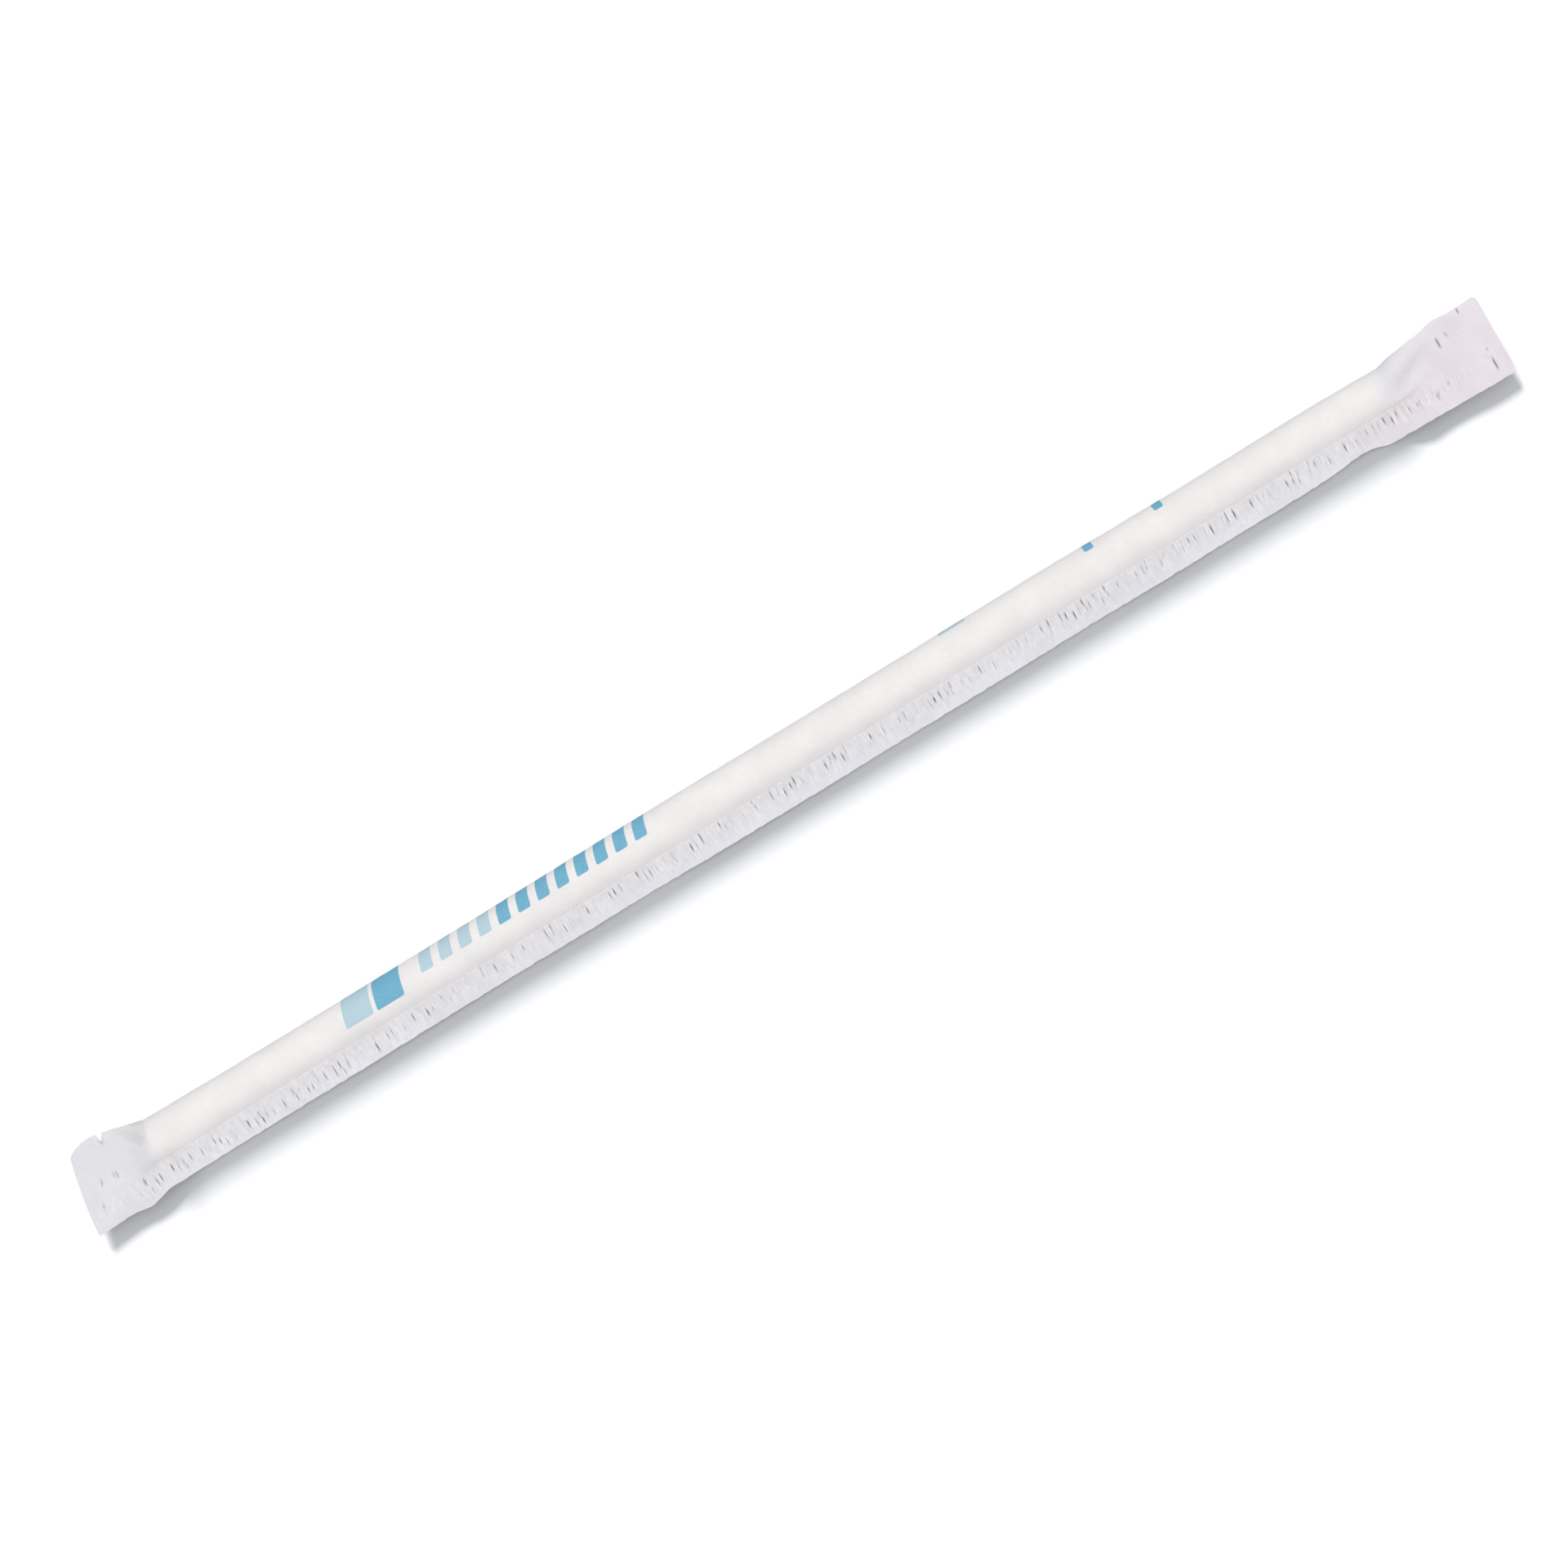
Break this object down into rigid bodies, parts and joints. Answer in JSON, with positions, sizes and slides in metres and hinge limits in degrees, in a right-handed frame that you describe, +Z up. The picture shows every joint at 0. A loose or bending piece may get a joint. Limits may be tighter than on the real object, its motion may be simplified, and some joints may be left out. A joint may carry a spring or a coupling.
{
  "type": "wrapped drinking straw",
  "caption": "Straight drinking straw sealed in a white paper wrapper with a crimped seam strip along one side and flat ends.",
  "frame": {"origin": "bottom centre of the box round the pack as it lies, on the surface it rests on", "axes": "+X along the straw towards the square-cut end, +Z up, the seam strip on the -Y side"},
  "size_m": [0.2266, 0.0122, 0.006],
  "materials": {
    "wrapper_paper": "thin white machine-glazed paper, matt with a faint sheen, crimped along the seam, with plain pale blue marks"
  },
  "bodies": {
    "root": {"wrapped_straw": "wrapper_paper"}
  },
  "joints": []
}
